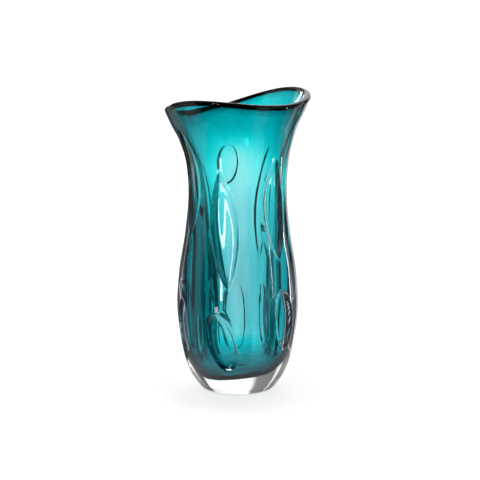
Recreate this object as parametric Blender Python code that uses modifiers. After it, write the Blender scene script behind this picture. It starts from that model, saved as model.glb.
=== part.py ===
"""Hand blown cased glass vase: a colour bubble inside clear glass, with two tiers of pressed dents.

Run with: blender --background --python part.py
Metres, +Z up, the vase standing on Z = 0 with its axis on the origin. The front is at -Y.
"""
import math

import bmesh
import bpy

# Driving dimensions, in metres and degrees.
GAP = 0.0003                    # between pieces that the real vase has fused together
STEPS = 56                      # facets round each turned piece

WALL_TOP = 0.3410               # mean height of the glass wall, under the lip wrap
LIP_RISE = 0.0045               # the lip wrap stands this high above the wall
LIP_LEAN = 0.0095               # the whole lip leans: highest one way, lowest the other
LIP_LEAN_TOWARDS = -4.0
LIP_WAVE = 0.0085               # two crests and two troughs round the lip
LIP_WAVE_CREST = 44.0
LIP_WAVE_START = 0.230          # below this height the wall is not waved

COLOUR_WALL = 0.0030            # thickness of the coloured glass
BUBBLE_FLOOR = 0.0240           # height of the underside of the coloured glass
FLOOR_SLANT = 0.15              # the colour bubble's floor rises towards +X
SPLIT = 0.0480                  # height where the foot gather meets the casing

FOOT_RADIUS = 0.0330            # outer edge of the flat ring that the vase rests on
PONTIL_RADIUS = 0.0220          # ground and polished hollow left by the pontil rod
PONTIL_DEPTH = 0.0020

DENT_SHARE_INSIDE = 0.10        # how much of an outer dent shows on the colour bubble
DENT_LIMIT = 0.65               # no dent is deeper than this share of the clear glass under it

# Pressed dents: (azimuth, height of the middle, half length, half width, depth, lean).
LONG_DENTS = (
    (49.0, 0.209, 0.076, 0.0165, 0.0040, 0.08), (150.0, 0.212, 0.066, 0.0160, 0.0028, -0.05),
    (205.0, 0.256, 0.064, 0.0175, 0.0042, 0.08), (256.0, 0.200, 0.068, 0.0165, 0.0042, 0.10),
    (315.0, 0.222, 0.060, 0.0160, 0.0040, 0.00),
)
SHORT_DENTS = (
    (40.0, 0.080, 0.036, 0.0140, 0.0050, -0.16), (96.0, 0.078, 0.039, 0.0225, 0.0060, 0.00),
    (104.0, 0.266, 0.027, 0.0150, 0.0045, 0.05), (146.0, 0.085, 0.036, 0.0140, 0.0050, 0.12),
    (203.0, 0.078, 0.038, 0.0140, 0.0050, -0.10), (254.0, 0.068, 0.037, 0.0165, 0.0048, 0.22),
    (320.0, 0.092, 0.036, 0.0140, 0.0050, 0.14),
)

# Outer silhouette, (height, radius), from the resting ring to the top of the wall.
SILHOUETTE = (
    (0.0000, FOOT_RADIUS), (0.0025, 0.0425), (0.0100, 0.0493), (0.0240, 0.0578), (SPLIT, 0.0657),
    (0.0980, 0.0726), (0.1450, 0.0701), (0.1900, 0.0629), (0.2350, 0.0586), (0.2750, 0.0609),
    (0.3050, 0.0689), (0.3250, 0.0783), (WALL_TOP, 0.0854),
)
# Outside of the colour bubble, (height, radius), from the axis to the top of the wall.
BUBBLE = (
    (BUBBLE_FLOOR, 0.0000), (BUBBLE_FLOOR + 0.0012, 0.0170), (0.0300, 0.0290), (SPLIT, 0.0395),
    (0.1000, 0.0430), (0.1500, 0.0445), (0.2000, 0.0470), (0.2400, 0.0495), (0.2750, 0.0545),
    (0.3050, 0.0640), (0.3250, 0.0726), (WALL_TOP, 0.0803),
)


def smooth(value):
    """Ease from 0 to 1 as value goes from 0 to 1."""
    value = min(max(value, 0.0), 1.0)
    return value * value * (3.0 - 2.0 * value)


def curve_through(stations, per_span):
    """Catmull-Rom curve through the stations, as a list of (height, radius)."""
    first, last = stations[0], stations[-1]
    before = (2 * first[0] - stations[1][0], 2 * first[1] - stations[1][1])
    after = (2 * last[0] - stations[-2][0], 2 * last[1] - stations[-2][1])
    chain = (before,) + tuple(stations) + (after,)
    points = []
    for a, b, c, d in zip(chain, chain[1:], chain[2:], chain[3:]):
        for step in range(per_span):
            t = step / per_span
            points.append(tuple(
                0.5 * (2 * q + (r - p) * t + (2 * p - 5 * q + 4 * r - s) * t ** 2
                       + (3 * q - p - 3 * r + s) * t ** 3)
                for p, q, r, s in zip(a, b, c, d)))
    points.append(last)
    return points


def radius_at(curve, height):
    """Radius of a (height, radius) curve at one height."""
    for (z0, r0), (z1, r1) in zip(curve, curve[1:]):
        if z0 <= height <= z1 and z1 > z0:
            return r0 + (r1 - r0) * (height - z0) / (z1 - z0)
    return curve[0][1] if height < curve[0][0] else curve[-1][1]


def set_out(curve, distance):
    """Offset a rising curve outwards: level on the steep wall, along its normal on the floor."""
    moved = []
    for index, (height, radius) in enumerate(curve):
        z0, r0 = curve[max(index - 1, 0)]
        z1, r1 = curve[min(index + 1, len(curve) - 1)]
        length = math.hypot(z1 - z0, r1 - r0)
        normal_z = -(r1 - r0) / length
        normal_r = (z1 - z0) / length
        if radius == 0.0:
            moved.append((height - distance, 0.0))
        elif height < SPLIT:
            moved.append((height + distance * normal_z, radius + distance * normal_r))
        else:
            moved.append((height, radius + distance / normal_r))
    return moved


def between(curve, low, high):
    """The points of a rising curve that lie between two heights, with both ends added."""
    inside = [point for point in curve if low < point[0] < high]
    return [(low, radius_at(curve, low))] + inside + [(high, radius_at(curve, high))]


OUTSIDE = curve_through(SILHOUETTE, 3)
INSIDE = curve_through(BUBBLE, 2)


def dent_depth(azimuth, height):
    """How far the dents push the outer surface in at one place."""
    depth = 0.0
    around = radius_at(OUTSIDE, height)
    for dent in LONG_DENTS + SHORT_DENTS:
        degrees, middle, half_length, half_width, deepest, lean = dent
        turn = (azimuth - math.radians(degrees) + math.pi) % math.tau - math.pi
        along = (height - middle) / half_length
        across = (turn * around + (height - middle) * lean) / half_width
        if abs(along) >= 1.0:
            continue
        if dent in LONG_DENTS:
            spread = (across / (1.0 - along ** 2)) ** 4      # pointed ends and a flat bed
            fade = 1.0 - along ** 4
        else:
            spread = (across ** 2 + along ** 2) ** 2         # an oval with a flat bed
            fade = 1.0
        if spread < 1.0:
            depth = max(depth, deepest * (1.0 - spread) * fade)
    return min(depth, DENT_LIMIT * (around - radius_at(INSIDE, height)))


def worked(point):
    """The hot working that shaped the round pieces together: dents, slanted floor, waved lip."""
    x, y, z = point
    radius = math.hypot(x, y)
    azimuth = math.atan2(y, x)
    inner, outer = radius_at(INSIDE, z) + 2 * GAP, radius_at(OUTSIDE, z)
    outwards = min(max((radius - inner) / (outer - inner), 0.0), 1.0)

    share = DENT_SHARE_INSIDE + (1.0 - DENT_SHARE_INSIDE) * outwards
    if radius > FOOT_RADIUS:
        scale = 1.0 - dent_depth(azimuth, z) * share / radius
        x *= scale
        y *= scale

    below = min(z / BUBBLE_FLOOR, 1.0)
    above = min(max((SPLIT - z) / (SPLIT - BUBBLE_FLOOR), 0.0), 1.0)
    lift = FLOOR_SLANT * x * below * above * (1.0 - outwards)

    wave = LIP_LEAN * math.cos(azimuth - math.radians(LIP_LEAN_TOWARDS))
    wave += LIP_WAVE * math.cos(2.0 * (azimuth - math.radians(LIP_WAVE_CREST)))
    lift += wave * smooth((z - LIP_WAVE_START) / (WALL_TOP - LIP_WAVE_START))
    return x, y, z + lift


def make_material(name, colour, roughness, transmission):
    material = bpy.data.materials.new(name)
    material.use_nodes = True
    shader = material.node_tree.nodes["Principled BSDF"]
    shader.inputs["Base Color"].default_value = (*colour, 1.0)
    shader.inputs["Roughness"].default_value = roughness
    shader.inputs["Metallic"].default_value = 0.0
    shader.inputs["IOR"].default_value = 1.5
    shader.inputs["Transmission Weight"].default_value = transmission
    material.diffuse_color = (*colour, 1.0)
    return material


def split_faces(body):
    """Cut each four-sided face along its rising diagonal, so that neighbours' facets lie alike."""
    for face in list(body.faces):
        middle = face.calc_center_median()
        rising = [vertex for vertex in face.verts
                  if (middle.x * vertex.co.y - middle.y * vertex.co.x) * (vertex.co.z - middle.z) > 0.0]
        if len(face.verts) == 4 and len(rising) == 2:
            bmesh.utils.face_split(face, *rising)


def turned(name, outline, material, ring=False):
    """Turn an outline of (height, radius), outer side first and downwards, and work it hot."""
    profile = bpy.data.meshes.new(name + "_profile")
    edges = [(i, i + 1) for i in range(len(outline) - 1)]
    if ring or outline[0][1] > 0.0:
        edges.append((len(outline) - 1, 0))
    profile.from_pydata([(radius, 0.0, height) for height, radius in outline], edges, [])
    obj = bpy.data.objects.new(name, profile)
    parts.objects.link(obj)

    screw = obj.modifiers.new("turn", "SCREW")
    screw.steps = STEPS
    screw.render_steps = STEPS
    screw.use_merge_vertices = True
    screw.merge_threshold = 0.00001
    evaluated = obj.evaluated_get(bpy.context.evaluated_depsgraph_get())
    mesh = bpy.data.meshes.new_from_object(evaluated)
    obj.modifiers.clear()
    obj.data = mesh
    mesh.name = name
    bpy.data.meshes.remove(profile)

    body = bmesh.new()
    body.from_mesh(mesh)
    split_faces(body)
    for vertex in body.verts:
        vertex.co = worked(vertex.co)
    body.to_mesh(mesh)
    body.free()
    mesh.shade_smooth()
    mesh.materials.clear()
    mesh.materials.append(material)
    return obj


# Start from an empty scene.
for old in list(bpy.data.objects):
    bpy.data.objects.remove(old, do_unlink=True)
parts = bpy.data.collections.new("art_glass_vase")
bpy.context.scene.collection.children.link(parts)

teal = make_material("teal_cased_glass", (0.010, 0.330, 0.360), 0.04, 0.85)
clear = make_material("clear_furnace_glass", (0.800, 0.860, 0.870), 0.03, 0.95)
dark = make_material("dark_teal_lip_glass", (0.002, 0.014, 0.022), 0.05, 0.60)


def make_colour_vessel():
    """The blown bubble of teal glass: the wall and floor that hold the water."""
    outer = list(reversed(INSIDE))
    return turned("colour_vessel", outer + set_out(INSIDE, -COLOUR_WALL), teal)


def make_clear_casing():
    """The clear gather over the wall, thick at the belly and thin at the lip, with the dents."""
    outer = list(reversed(between(OUTSIDE, SPLIT + GAP, WALL_TOP)))
    inner = between(set_out(INSIDE, GAP), SPLIT + GAP, WALL_TOP)
    return turned("clear_casing", outer + inner, clear, ring=True)


def make_foot_gather():
    """The heavy clear gather under the floor, with a bowl for the bubble and a polished pontil."""
    outer = list(reversed(between(OUTSIDE, 0.0, SPLIT)))
    hollow = []
    for step in range(4):
        turn = step / 3 * math.pi / 2
        hollow.append((PONTIL_DEPTH * math.sin(turn), PONTIL_RADIUS * math.cos(turn)))
    hollow[-1] = (PONTIL_DEPTH, 0.0)
    seat = set_out(INSIDE, GAP)
    seat = [point for point in seat if point[0] < SPLIT] + [(SPLIT, radius_at(seat, SPLIT))]
    outline = outer + hollow + seat
    return turned("foot_gather", outline, clear, ring=True)


def make_lip_wrap():
    """The dark glass thread laid round the top of the wall and fire polished to a bead."""
    inner = radius_at(INSIDE, WALL_TOP) - COLOUR_WALL
    outer = radius_at(OUTSIDE, WALL_TOP) + 0.0006
    middle = (inner + outer) / 2
    half = (outer - inner) / 2
    base = WALL_TOP + GAP
    shoulder = base + 0.0012
    outline = []
    for step in range(9):
        turn = math.pi * step / 8
        outline.append((shoulder + (WALL_TOP + LIP_RISE - shoulder) * math.sin(turn),
                        middle - half * math.cos(turn)))
    outline += [(base, outer - 0.0006), (base, inner + 0.0004)]
    return turned("lip_wrap", outline, dark, ring=True)


make_lip_wrap()
make_colour_vessel()
make_clear_casing()
make_foot_gather()
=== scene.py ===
import math

import bpy
import numpy as np
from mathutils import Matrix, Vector


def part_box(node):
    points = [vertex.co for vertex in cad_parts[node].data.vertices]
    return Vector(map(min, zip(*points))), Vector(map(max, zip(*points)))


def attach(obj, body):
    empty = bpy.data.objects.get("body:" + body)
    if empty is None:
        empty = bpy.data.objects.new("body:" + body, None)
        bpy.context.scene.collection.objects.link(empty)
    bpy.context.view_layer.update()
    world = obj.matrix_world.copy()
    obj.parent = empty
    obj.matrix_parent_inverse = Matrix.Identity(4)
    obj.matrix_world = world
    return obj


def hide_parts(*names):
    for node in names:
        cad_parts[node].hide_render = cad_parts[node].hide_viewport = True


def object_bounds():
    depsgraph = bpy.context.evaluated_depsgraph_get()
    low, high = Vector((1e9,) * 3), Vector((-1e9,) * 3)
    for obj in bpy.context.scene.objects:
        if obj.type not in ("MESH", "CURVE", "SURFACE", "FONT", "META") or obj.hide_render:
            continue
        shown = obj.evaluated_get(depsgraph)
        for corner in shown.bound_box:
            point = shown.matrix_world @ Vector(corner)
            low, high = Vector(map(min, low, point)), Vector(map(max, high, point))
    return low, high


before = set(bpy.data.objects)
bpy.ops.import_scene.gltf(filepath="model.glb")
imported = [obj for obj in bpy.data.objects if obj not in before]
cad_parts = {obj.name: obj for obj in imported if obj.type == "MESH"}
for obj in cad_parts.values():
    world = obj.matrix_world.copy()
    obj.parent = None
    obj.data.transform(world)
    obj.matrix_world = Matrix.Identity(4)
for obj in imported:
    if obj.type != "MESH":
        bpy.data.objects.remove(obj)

CAD_LOW, CAD_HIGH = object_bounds()


# ---------------------------------------------------------------------------------------------
# The clear gathers: casing and foot. Clear soda-lime furnace glass gathered over the colour, thick
# at the belly and heavy in the foot, fused to everything under it. It is shaped hot with pressed
# dents and a waved lip and fire polished, and only the pontil hollow underneath is ground.
# ---------------------------------------------------------------------------------------------
FOOT_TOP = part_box("foot_gather")[1].z           # where the foot gather meets the casing
BUBBLE_FLOOR = 0.5 * FOOT_TOP                   # underside of the colour on the axis
WALL_TOP = 0.3410                               # mean height of the wall under the lip's bead
BEAD_RISE = 0.0045                              # from there to the top of the bead
BEAD_SHOULDER = 0.0012                          # where the bead starts to round over
BEAD_PROUD = 0.0006                             # how far it stands out past the wall
COLOUR_WALL = 0.0030                            # thickness of glass from the cavity to the casing
FOOT_RADIUS = 0.0330                            # outer edge of the ring that the vase rests on
PONTIL_RADIUS = 0.0220
PONTIL_DEPTH = 0.0020

LIP_LEAN = 0.0095                               # one side of the lip is higher than the other
LIP_LEAN_TOWARDS = math.radians(-4.0)
LIP_WAVE = 0.0085                               # two crests and two troughs
LIP_WAVE_CREST = math.radians(44.0)
LIP_WAVE_START = 0.230                          # below this height the wall is still round
FLOOR_SLANT = 0.15                              # the colour's floor rises towards +X
DENT_SHARE_INSIDE = 0.10                        # how much of a dent shows on the colour bubble
DENT_LIMIT = 0.65                               # deepest that a dent goes, as a share of the wall
RIM_CRISPNESS = 4                               # higher is a flatter bed and a sharper rim

# Pressed dents: (azimuth, height of the middle, half length, half width, depth, lean).
LONG_DENTS = (
    (49.0, 0.209, 0.076, 0.0165, 0.0040, 0.08), (150.0, 0.212, 0.066, 0.0160, 0.0028, -0.05),
    (205.0, 0.256, 0.064, 0.0175, 0.0042, 0.08), (256.0, 0.200, 0.068, 0.0165, 0.0042, 0.10),
    (315.0, 0.222, 0.060, 0.0160, 0.0040, 0.00),
)
SHORT_DENTS = (
    (40.0, 0.080, 0.036, 0.0140, 0.0050, -0.16), (96.0, 0.078, 0.039, 0.0225, 0.0060, 0.00),
    (104.0, 0.266, 0.027, 0.0150, 0.0045, 0.05), (146.0, 0.085, 0.036, 0.0140, 0.0050, 0.12),
    (203.0, 0.078, 0.038, 0.0140, 0.0050, -0.10), (254.0, 0.070, 0.0345, 0.0165, 0.0048, 0.22),
    (320.0, 0.092, 0.036, 0.0140, 0.0050, 0.14),
)

# (height, radius) from the resting ring up the outside, and from the axis up the colour bubble.
SILHOUETTE = (
    (0.0000, FOOT_RADIUS), (0.0025, 0.0425), (0.0100, 0.0493), (0.0240, 0.0578), (FOOT_TOP, 0.0657),
    (0.0980, 0.0726), (0.1450, 0.0701), (0.1900, 0.0629), (0.2350, 0.0586), (0.2750, 0.0609),
    (0.3050, 0.0689), (0.3250, 0.0783), (WALL_TOP, 0.0854),
)
BUBBLE = (
    (BUBBLE_FLOOR, 0.0000), (BUBBLE_FLOOR + 0.0012, 0.0170), (0.0300, 0.0290), (FOOT_TOP, 0.0395),
    (0.1000, 0.0430), (0.1500, 0.0445), (0.2000, 0.0470), (0.2400, 0.0495), (0.2750, 0.0545),
    (0.3050, 0.0640), (0.3250, 0.0726), (WALL_TOP, 0.0803),
)


def curve_through(stations, per_span=16):
    """Catmull-Rom curve through (height, radius) stations."""
    points = np.array(stations)
    chain = np.vstack([2 * points[0] - points[1], points, 2 * points[-1] - points[-2]])
    t = np.linspace(0.0, 1.0, per_span, endpoint=False)[:, None]
    spans = []
    for a, b, c, d in zip(chain, chain[1:], chain[2:], chain[3:]):
        spans.append(0.5 * (2 * b + (c - a) * t + (2 * a - 5 * b + 4 * c - d) * t ** 2
                            + (3 * b - a - 3 * c + d) * t ** 3))
    return np.vstack(spans + [points[-1:]])


def set_out(curve, distance):
    """Offset a rising curve outwards along its own normal, by one distance or one for each point."""
    run = np.gradient(curve, axis=0)
    run /= np.linalg.norm(run, axis=1)[:, None]
    normal = np.column_stack([-run[:, 1], run[:, 0]])
    moved = curve + normal * np.reshape(distance, (-1, 1))
    moved[:, 1] = np.maximum(moved[:, 1], 0.0)
    moved[0, 1] = 0.0 if curve[0, 1] == 0.0 else moved[0, 1]
    return moved


def radius_at(curve, height):
    """The radius of a rising curve at a height or heights."""
    return np.interp(height, curve[:, 0], curve[:, 1])


def smooth(value):
    """From 0 to 1 with a soft start and end."""
    value = np.clip(value, 0.0, 1.0)
    return value * value * (3.0 - 2.0 * value)


OUTSIDE = curve_through(SILHOUETTE)
INSIDE = curve_through(BUBBLE)
CAVITY = set_out(INSIDE, -COLOUR_WALL)


def dent_depth(azimuth, height):
    """How far the dents push the outer surface in."""
    depth = np.zeros_like(height)
    around = radius_at(OUTSIDE, height)
    for dents, pointed in ((LONG_DENTS, True), (SHORT_DENTS, False)):
        for degrees, middle, half_length, half_width, deepest, lean in dents:
            turn = (azimuth - math.radians(degrees) + math.pi) % math.tau - math.pi
            along = np.clip((height - middle) / half_length, -1.0, 1.0)
            across = (turn * around + (height - middle) * lean) / half_width
            if pointed:                             # a leaf shape that dies away at both ends
                spread = (across / np.maximum(1.0 - along ** 2, 1e-6)) ** RIM_CRISPNESS
                fade = 1.0 - along ** RIM_CRISPNESS
            else:                                   # an oval hollow
                spread = (across ** 2 + along ** 2) ** RIM_CRISPNESS
                fade = 1.0
            depth = np.maximum(depth, deepest * np.clip(1.0 - spread, 0.0, 1.0) * fade)
    wall = around - radius_at(INSIDE, height)
    return np.minimum(depth, DENT_LIMIT * np.maximum(wall, 0.0))


def worked(points):
    """The hot working that shaped the round gathers together: dents, slanted floor, waved lip."""
    x, y, z = points.T
    radius = np.hypot(x, y)
    azimuth = np.arctan2(y, x)
    inner = radius_at(INSIDE, z)
    outer = radius_at(OUTSIDE, z)
    outwards = np.clip((radius - inner) / np.maximum(outer - inner, 1e-6), 0.0, 1.0)
    share = DENT_SHARE_INSIDE + (1.0 - DENT_SHARE_INSIDE) * outwards
    dent = np.where(radius > FOOT_RADIUS, dent_depth(azimuth, z) * share, 0.0)
    scale = 1.0 - dent / np.maximum(radius, 1e-6)

    below = np.clip(z / BUBBLE_FLOOR, 0.0, 1.0)
    above = np.clip((FOOT_TOP - z) / (FOOT_TOP - BUBBLE_FLOOR), 0.0, 1.0)
    lift = FLOOR_SLANT * x * below * above * (1.0 - outwards)
    lean = LIP_LEAN * np.cos(azimuth - LIP_LEAN_TOWARDS)
    wave = LIP_WAVE * np.cos(2.0 * (azimuth - LIP_WAVE_CREST))
    lift += (lean + wave) * smooth((z - LIP_WAVE_START) / (WALL_TOP - LIP_WAVE_START))
    return np.column_stack([x * scale, y * scale, z + lift])


def even(outline, spacing):
    """Respace an outline that starts and ends on the axis, so that its points lie evenly along it."""
    steps = np.linalg.norm(np.diff(outline, axis=0), axis=1)
    travel = np.concatenate([[0.0], np.cumsum(steps)])
    where = np.linspace(0.0, travel[-1], max(int(travel[-1] / spacing), 8))
    spaced = np.column_stack([np.interp(where, travel, outline[:, 0]),
                              np.interp(where, travel, outline[:, 1])])
    spaced[[0, -1], 1] = 0.0
    return spaced


def turned(name, outline, around, ring=False, swell=None):
    """Turn an outline of (height, radius), outside first and upwards, then work it hot.

    A ring's outline closes on itself, and any other starts and ends on the axis. swell is the extra
    radius of every point, one row of values for each row of the outline."""
    on_axis = np.abs(outline[:, 1]) < 1e-7
    turn = np.linspace(0.0, math.tau, around, endpoint=False)
    swell = np.zeros((len(outline), around)) if swell is None else swell
    points, faces, starts = [], [], []
    for (height, radius), pole, extra in zip(outline, on_axis, swell):
        starts.append(len(points))
        if pole:
            points.append((0.0, 0.0, height))
        else:
            reach = radius + extra
            points.extend(zip(reach * np.cos(turn), reach * np.sin(turn), np.full(around, height)))
    pairs = list(zip(range(len(outline) - 1), range(1, len(outline))))
    if ring:
        pairs.append((len(outline) - 1, 0))
    for low, high in pairs:
        a, b = starts[low], starts[high]
        for i in range(around):
            j = (i + 1) % around
            if on_axis[low]:
                faces.append((a, b + j, b + i))
            elif on_axis[high]:
                faces.append((a + i, a + j, b))
            else:
                faces.append((a + i, a + j, b + j, b + i))
    mesh = bpy.data.meshes.new(name)
    mesh.from_pydata(worked(np.array(points)).tolist(), [], faces)
    mesh.update()
    mesh.shade_smooth()
    piece = bpy.data.objects.new(name, mesh)
    bpy.context.scene.collection.objects.link(piece)
    return piece


def linear(code):
    """sRGB hex to a linear colour."""
    parts = [int(code[i:i + 2], 16) / 255.0 for i in (0, 2, 4)]
    return tuple(p / 12.92 if p <= 0.04045 else ((p + 0.055) / 1.055) ** 2.4 for p in parts) + (1.0,)


def add_node(tree, kind, links=(), stops=(), **settings):
    """Add a node, set its sockets, properties and colour stops, and link what feeds it."""
    node = tree.nodes.new(kind)
    for key, value in settings.items():
        if key in node.inputs:
            node.inputs[key].default_value = value
        else:
            setattr(node, key, value)
    if stops:
        bar = node.color_ramp
        while len(bar.elements) < len(stops):
            bar.elements.new(0.5)
        for element, (place, colour) in zip(bar.elements, stops):
            element.position = place
            element.color = colour
    for source, socket in links:
        tree.links.new(source, node.inputs[socket])
    return node


CLEAR_IOR = 1.51                                # soda-lime crystal
CORDS_PER_METRE = 70.0                          # about one drawn cord every 14 mm round the wall
CORD_STRETCH = 0.15                             # and each about seven times as long as it is wide
CORD_DEPTH = 0.00008                            # far less than a tenth of a millimetre proud


def glass(name, ior, dye=None, density=0.0, ripple=0.0, streak=None):
    """Glass with a bright fire-polished surface, coloured through its depth.

    dye is what it lets through and density how strongly. ripple is the depth in metres of the faint
    cords that the pipe's turning draws up the glass, and streak the tint of the denser colour that
    runs along them."""
    material = bpy.data.materials.new(name)
    material.use_nodes = True
    tree = material.node_tree
    tree.nodes.clear()
    shader = add_node(tree, "ShaderNodeBsdfPrincipled", IOR=ior, Roughness=0.0,
                      **{"Base Color": linear("ffffff"), "Transmission Weight": 1.0})
    output = add_node(tree, "ShaderNodeOutputMaterial", [(shader.outputs[0], "Surface")])
    if dye:
        depth = add_node(tree, "ShaderNodeVolumeAbsorption", Color=linear(dye), Density=density)
        tree.links.new(depth.outputs[0], output.inputs["Volume"])
    if ripple or streak:
        place = add_node(tree, "ShaderNodeTexCoord")
        drawn = add_node(tree, "ShaderNodeMapping", [(place.outputs["Object"], "Vector")],
                         Scale=(1.0, 1.0, CORD_STRETCH))
        cords = add_node(tree, "ShaderNodeTexNoise", [(drawn.outputs[0], "Vector")],
                         Scale=CORDS_PER_METRE, Detail=2.0)
    if ripple:
        bump = add_node(tree, "ShaderNodeBump", [(cords.outputs[0], "Height")], Strength=1.0,
                        Distance=ripple)
        tree.links.new(bump.outputs[0], shader.inputs["Normal"])
    if streak:
        denser = add_node(tree, "ShaderNodeValToRGB", [(cords.outputs[0], "Fac")],
                          stops=[(0.35, linear("ffffff")), (0.70, linear(streak))])
        tree.links.new(denser.outputs[0], shader.inputs["Base Color"])
    return material


def bead_outline(inset=0.0):
    """Over the lip's bead, from the outside to the cavity."""
    outer = OUTSIDE[-1, 1] + BEAD_PROUD - inset
    inner = CAVITY[-1, 1] + inset
    turn = np.linspace(0.0, math.pi, 17)
    rise = BEAD_RISE - BEAD_SHOULDER - inset
    return np.column_stack([WALL_TOP + BEAD_SHOULDER + rise * np.sin(turn),
                            0.5 * (outer + inner) + 0.5 * (outer - inner) * np.cos(turn)])


up_the_hollow = np.linspace(math.pi / 2, 0.0, 12)
pontil_hollow = np.column_stack([PONTIL_DEPTH * np.sin(up_the_hollow),
                                 PONTIL_RADIUS * np.cos(up_the_hollow)])
body_outline = even(np.vstack([pontil_hollow, OUTSIDE, bead_outline(), CAVITY[::-1]]), 0.0015)
clear_gathers = turned("clear_gathers", body_outline, 280)
# Soda-lime crystal, fire polished: a mirror-bright skin over faint drawn cords, which make the edges
# and whatever is seen through them waver a little.
clear_gathers.data.materials.append(
    glass("fire_polished_clear_glass", CLEAR_IOR, ripple=CORD_DEPTH))
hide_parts("clear_casing", "foot_gather")
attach(clear_gathers, "root")


# ---------------------------------------------------------------------------------------------
# The colour bubble: transparent teal glass, blown first and cased in the clear. It lines the whole
# vase, thick at the lip and drawn thin at the belly, and thicker at the sides than front and back.
# ---------------------------------------------------------------------------------------------
SKIN = 0.0001                                   # colour starts this far behind the cavity's surface
CASED_IOR = 1.0             # against the clear glass round it: the two are fused, so nothing bends
# (height, depth of the colour).
COLOUR_DEPTH = (
    (0.024, 0.0028), (0.034, 0.0026), (0.060, 0.0010), (0.100, 0.00063), (0.260, 0.00063),
    (0.285, 0.0008), (0.297, 0.0018), (0.308, 0.0031), (0.325, 0.0050), (WALL_TOP, 0.0060),
)
BELLY_SWELL = 0.0024                            # extra colour at the belly's sides, most at -X
BELLY_SPAN = (0.045, 0.310)
FLARE_SWELL = 0.0040                            # and at both sides of the flare
FLARE_START = 0.262
SWELL_FADE = 0.03
CLEAR_SKIN = 0.0006                             # least clear glass outside the colour
BUBBLE_AROUND = 180

cavity_side = set_out(CAVITY, SKIN)
colour_side = set_out(CAVITY, SKIN + radius_at(np.array(COLOUR_DEPTH), INSIDE[:, 0]))
bubble_outline = even(np.vstack([colour_side, cavity_side[::-1]]), 0.0022)
heights = bubble_outline[:, 0]
on_outside = np.arange(len(heights)) < np.argmax(heights)
belly = (on_outside * smooth((heights - BELLY_SPAN[0]) / SWELL_FADE)
         * smooth((BELLY_SPAN[1] - heights) / SWELL_FADE))
flare = on_outside * smooth((heights - FLARE_START) / SWELL_FADE)
sideways = np.cos(np.linspace(0.0, math.tau, BUBBLE_AROUND, endpoint=False))
swell = (BELLY_SWELL * np.outer(belly, np.abs(sideways) ** 1.7 * (0.7 - 0.3 * sideways))
         + FLARE_SWELL * np.outer(flare, np.abs(sideways) ** 2.5))
room = radius_at(OUTSIDE, heights) - CLEAR_SKIN - bubble_outline[:, 1]
swell = np.minimum(swell, np.maximum(room, 0.0)[:, None])
colour_bubble = turned("colour_bubble", bubble_outline, BUBBLE_AROUND, swell=swell)
# Copper teal glass inside the clear: no surface of its own to shine, only depth of colour, with
# slightly denser streaks drawn up from the floor to the lip.
colour_bubble.data.materials.append(
    glass("blown_teal_colour_glass", CASED_IOR, "3ff4f5", 960.0, streak="ecf6f7"))
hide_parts("colour_vessel")
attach(colour_bubble, "root")


# ---------------------------------------------------------------------------------------------
# The colour button: the teal glass that stays pooled in the bottom of the bubble, where the first
# gather was never drawn thin. It is the darker saucer that ends the colour above the clear foot.
# ---------------------------------------------------------------------------------------------
POOL_TOP = 0.066                                # where the pooled colour has thinned to nothing
POOL_FADE = 0.022
POOL_DEPTH = 0.0024
POOL_SKIN = 2.0 * SKIN
THINNEST = 0.00005                              # a closed body's two sides never quite meet

pool_heights = CAVITY[:, 0]
pool_rows = pool_heights < POOL_TOP
pool_depth = THINNEST + POOL_DEPTH * smooth((POOL_TOP - pool_heights) / POOL_FADE)
button_outline = np.vstack([set_out(CAVITY, POOL_SKIN + pool_depth)[pool_rows],
                            set_out(CAVITY, POOL_SKIN)[pool_rows][::-1]])
colour_button = turned("colour_button", button_outline, 120)
# The same teal, unblown and so deeper: nearly black-green where the eye looks along the saucer.
colour_button.data.materials.append(
    glass("pooled_teal_colour_glass", CASED_IOR, "3ff7f8", 2400.0, streak="f0f7f8"))
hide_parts("colour_vessel")
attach(colour_button, "root")


# ---------------------------------------------------------------------------------------------
# The belly tint, painted shade: a trace of smoke-blue glass under the clear gather of the belly, fused
# inside the clear casing. It greys the middle of the vase in place of the dimmer light seen through it,
# and fades out before the flare.
# ---------------------------------------------------------------------------------------------
TINT_LOW = 0.032
TINT_HIGH = 0.262
TINT_FADE_LOW = 0.07
TINT_FADE_HIGH = 0.06
TINT_OFF_COLOUR = 0.0004                        # clear glass between the colour and the tint
TINT_OFF_OUTSIDE = 0.0012                       # and between the tint and the outside

tint_heights = np.linspace(TINT_LOW, TINT_HIGH, 60)
tint_inner = radius_at(colour_side, tint_heights) + TINT_OFF_COLOUR
tint_outer = radius_at(OUTSIDE, tint_heights) - TINT_OFF_OUTSIDE
tint_share = (smooth((tint_heights - TINT_LOW) / TINT_FADE_LOW)
              * smooth((TINT_HIGH - tint_heights) / TINT_FADE_HIGH))
tint_outer = tint_inner + THINNEST + (tint_outer - tint_inner) * tint_share
tint_outline = np.vstack([np.column_stack([tint_heights, tint_outer]),
                          np.column_stack([tint_heights, tint_inner])[::-1]])
belly_tint_and_painted_shade = turned("belly_tint_and_painted_shade", tint_outline, 180, ring=True)
# A very weak smoke-blue absorber, as painted shade: it mutes the teal where the wall is thick and
# can't be seen where it is thin.
belly_tint_and_painted_shade.data.materials.append(
    glass("smoke_blue_painted_shade_glass", CASED_IOR, "b3bccb", 15.0, streak="fafcfe"))
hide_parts("clear_casing")
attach(belly_tint_and_painted_shade, "root")


# ---------------------------------------------------------------------------------------------
# The lip wrap: a thread of nearly opaque dark teal glass, laid hot round the top of the wall and
# melted in until it is a smooth round bead, which thins out down the wall.
# ---------------------------------------------------------------------------------------------
SKIRT_OFF_CAVITY = 0.0003
# (height over the wall's top, depth) of the thread's lower part, from the bead downwards.
SKIRT = ((0.0008, 0.0074), (0.0001, 0.0020), (-0.0008, 0.0002), (-0.0030, 0.00008), (-0.0070, 0.00002))

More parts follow.
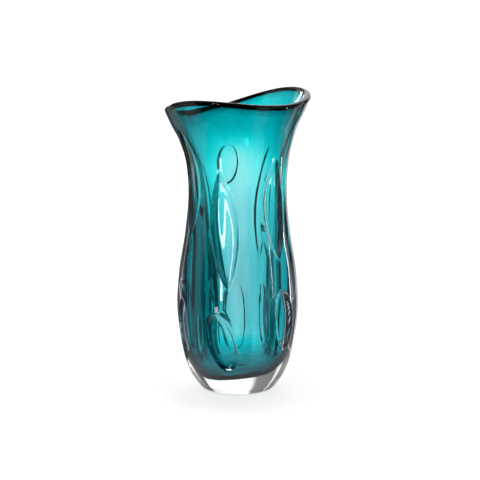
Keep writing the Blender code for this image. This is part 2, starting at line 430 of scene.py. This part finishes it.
skirt_heights = WALL_TOP + np.array(SKIRT)[:, 0]
skirt_inner = radius_at(CAVITY, skirt_heights) + SKIRT_OFF_CAVITY
skirt_outer = skirt_inner + np.array(SKIRT)[:, 1]
lip_outline = np.vstack([bead_outline(SKIN), np.column_stack([skirt_heights, skirt_inner]),
                         np.column_stack([skirt_heights, skirt_outer])[::-1]])
lip_thread = turned("lip_thread", lip_outline, 240, ring=True)
# Almost opaque teal thread, melted in: it reads as black, with teal where it thins into the wall.
lip_thread.data.materials.append(
    glass("melted_in_dark_teal_glass", CASED_IOR, "277c90", 4000.0, streak="e0eef0"))
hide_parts("lip_wrap")
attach(lip_thread, "root")


# ---------------------------------------------------------------------------------------------
# The table: a round of matt white paper, lit from inside, that the vase stands on. Its white fades
# out before its edge, so that the glass never shows a hard edge of it.
# ---------------------------------------------------------------------------------------------
TABLE_RADIUS = 0.22
TABLE_SIDES = 96
TABLE_FADE_START = 0.075
TABLE_FADE_END = TABLE_RADIUS - 0.005
TABLE_DROP = 0.0002                             # a hair below the resting ring

table_turns = np.linspace(0.0, math.tau, TABLE_SIDES, endpoint=False)
table_edge = [(TABLE_RADIUS * math.cos(t), TABLE_RADIUS * math.sin(t), 0.0) for t in table_turns]
table_mesh = bpy.data.meshes.new("white_sweep")
table_mesh.from_pydata(table_edge, [], [tuple(range(TABLE_SIDES))])
white_sweep = bpy.data.objects.new("white_sweep", table_mesh)
white_sweep.location.z = -TABLE_DROP
bpy.context.scene.collection.objects.link(white_sweep)

# Matt white paper: no shine at all, and bright enough to keep only the faintest shadow of the foot.
paper = bpy.data.materials.new("matt_white_paper")
paper.use_nodes = True
sheet = paper.node_tree
sheet.nodes.clear()
white = add_node(sheet, "ShaderNodeBsdfPrincipled", Roughness=0.9,
                 **{"Base Color": linear("f3f3f3"), "Specular IOR Level": 0.0,
                    "Emission Color": linear("ffffff"), "Emission Strength": 0.70})
spot = add_node(sheet, "ShaderNodeTexCoord")
from_middle = add_node(sheet, "ShaderNodeVectorMath", [(spot.outputs["Object"], 0)],
                       operation="LENGTH")
fade_out = add_node(sheet, "ShaderNodeMapRange", [(from_middle.outputs["Value"], 0)],
                    interpolation_type="SMOOTHSTEP",
                    **{"From Min": TABLE_FADE_START, "From Max": TABLE_FADE_END})
see_through = add_node(sheet, "ShaderNodeBsdfTransparent")
soft_edge = add_node(sheet, "ShaderNodeMixShader", [(fade_out.outputs[0], 0), (white.outputs[0], 1),
                                                    (see_through.outputs[0], 2)])
add_node(sheet, "ShaderNodeOutputMaterial", [(soft_edge.outputs[0], "Surface")])
white_sweep.data.materials.append(paper)


# ---------------------------------------------------------------------------------------------
# The ring of panels: white and grey panels all round the vase with dark gaps between them. Glass
# shows its edges by what it bends into them, so the gaps draw its dark lines.
# ---------------------------------------------------------------------------------------------
# (azimuth, level) from -180 to 180 degrees. The bright panel at 56 to 101 is the backdrop behind the
# vase, the dark stretch from -160 to -62 is the room behind the camera, and the narrow bright panels
# at 30 to 36 and 131 to 136 draw the white streaks inside the belly's dark margins.
UPPER_RING = (
    (-180.0, 0.42), (-166.0, 0.42), (-160.0, 0.02), (-62.0, 0.02), (-58.0, 0.42), (-32.0, 0.42),
    (-27.0, 0.25), (8.0, 0.20), (26.0, 0.20), (30.0, 1.20), (36.0, 1.20), (39.0, 0.12),
    (47.0, 0.04), (52.0, 0.04), (56.0, 1.10), (101.0, 1.26), (107.0, 0.22), (128.0, 0.15),
    (131.0, 0.95), (136.0, 0.95), (139.0, 0.12), (162.0, 0.15), (167.0, 0.42), (180.0, 0.42),
)
LOWER_RING = (
    (-180.0, 0.42), (-166.0, 0.42), (-160.0, 0.02), (-62.0, 0.02), (-58.0, 0.60), (-32.0, 0.60),
    (-27.0, 0.02), (8.0, 0.02), (14.0, 0.30), (26.0, 0.30), (30.0, 1.00), (35.0, 1.00),
    (39.0, 0.35), (48.0, 0.40), (52.0, 0.05), (58.0, 0.05), (64.0, 1.15), (101.0, 1.26),
    (106.0, 0.08), (121.0, 0.08), (124.0, 0.42), (147.0, 0.42), (150.0, 0.20), (165.0, 0.20),
    (168.0, 0.42), (180.0, 0.42),
)
# (height of the direction from straight down, 0, to straight up, 1; level).
UPPER_SHARE = ((0.0, 0.0), (0.382, 0.0), (0.412, 1.0), (1.0, 1.0))
RING_FADE = ((0.0, 0.35), (0.17, 0.35), (0.20, 1.0), (0.84, 1.0), (0.92, 0.4), (1.0, 0.4))

world = bpy.data.worlds.new("ring_of_panels")
bpy.context.scene.world = world
world.use_nodes = True
ring = world.node_tree
ring.nodes.clear()
direction = add_node(ring, "ShaderNodeTexCoord").outputs["Generated"]
parts = add_node(ring, "ShaderNodeSeparateXYZ", [(direction, 0)])
azimuth = add_node(ring, "ShaderNodeMath", [(parts.outputs[1], 0), (parts.outputs[0], 1)],
                   operation="ARCTAN2")
azimuth_share = add_node(ring, "ShaderNodeMapRange", [(azimuth.outputs[0], 0)],
                         **{"From Min": -math.pi, "From Max": math.pi})
height_share = add_node(ring, "ShaderNodeMapRange", [(parts.outputs[2], 0)], **{"From Min": -1.0})
levels = []
for share, stops in (
        (azimuth_share, [((degrees + 180.0) / 360.0, level) for degrees, level in UPPER_RING]),
        (azimuth_share, [((degrees + 180.0) / 360.0, level) for degrees, level in LOWER_RING]),
        (height_share, UPPER_SHARE), (height_share, RING_FADE)):
    greys = [(place, (level, level, level, 1.0)) for place, level in stops]
    levels.append(add_node(ring, "ShaderNodeValToRGB", [(share.outputs[0], 0)], stops=greys).outputs[0])
upper, lower, upper_share, ring_fade = levels
both = add_node(ring, "ShaderNodeMix", [(upper_share, 0), (lower, 2), (upper, 3)])
light = add_node(ring, "ShaderNodeMath", [(both.outputs[0], 0), (ring_fade, 1)], operation="MULTIPLY")
shine = add_node(ring, "ShaderNodeBackground", [(light.outputs[0], "Strength")],
                 Color=linear("ffffff"))
add_node(ring, "ShaderNodeOutputWorld", [(shine.outputs[0], "Surface")])


# ---------------------------------------------------------------------------------------------
# The softboxes and cards: small soft lights that show only as highlights on the skin. The tall ones
# draw streaks down the dents, and the low cards light the tops of the dents' hollows.
# ---------------------------------------------------------------------------------------------
MIDDLE = Vector((0.0, 0.0, 0.5 * CAD_HIGH.z))   # halfway up the vase
# (name, azimuth, distance, height, width, length, watts).
SOFTBOXES = (
    ("left_strip", 240.0, 1.2, 0.28, 0.08, 0.5, 2.2), ("right_strip", 26.0, 1.4, 0.22, 0.06, 0.7, 1.6),
    ("front_strip", 338.0, 1.3, 0.20, 0.03, 0.4, 0.5), ("upper_left", 235.0, 1.3, 1.0, 0.25, 0.25, 1.2),
    ("right_card", -3.0, 1.2, -0.10, 0.16, 0.20, 0.7), ("left_card", 231.0, 1.2, -0.16, 0.14, 0.22, 0.9),
    ("back_left", 120.0, 1.3, 0.60, 0.36, 0.24, 1.3),
)

for name, degrees, distance, height, width, length, watts in SOFTBOXES:
    lamp = bpy.data.lights.new(name, "AREA")
    lamp.shape = "RECTANGLE"
    lamp.size = width
    lamp.size_y = length
    lamp.energy = watts
    softbox = bpy.data.objects.new(name, lamp)
    turn = math.radians(degrees)
    softbox.location = (distance * math.cos(turn), distance * math.sin(turn), height)
    softbox.rotation_euler = (MIDDLE - softbox.location).to_track_quat("-Z", "Y").to_euler()
    softbox.visible_transmission = False        # the glass reflects it and doesn't show it through
    bpy.context.scene.collection.objects.link(softbox)


# ---------------------------------------------------------------------------------------------
# The camera: a long lens 1.5 m from the vase and a little above its middle, looking at its middle.
# Light crosses many surfaces in thick glass, so it is followed through more of them than usual.
# ---------------------------------------------------------------------------------------------
CAMERA_DISTANCE = 1.5
CAMERA_ELEVATION = math.radians(8.5)

lens = bpy.data.cameras.new("camera")
lens.lens = 94.4
lens.sensor_width = 36.0
lens.shift_x = 0.0048
camera = bpy.data.objects.new("camera", lens)
camera.location = (0.0, -CAMERA_DISTANCE * math.cos(CAMERA_ELEVATION),
                   MIDDLE.z + CAMERA_DISTANCE * math.sin(CAMERA_ELEVATION))
camera.rotation_euler = (MIDDLE - camera.location).to_track_quat("-Z", "Y").to_euler()
scene = bpy.context.scene
scene.collection.objects.link(camera)
scene.camera = camera
scene.view_settings.view_transform = "Standard"
scene.cycles.max_bounces = 32
scene.cycles.transmission_bounces = 32
scene.cycles.glossy_bounces = 12
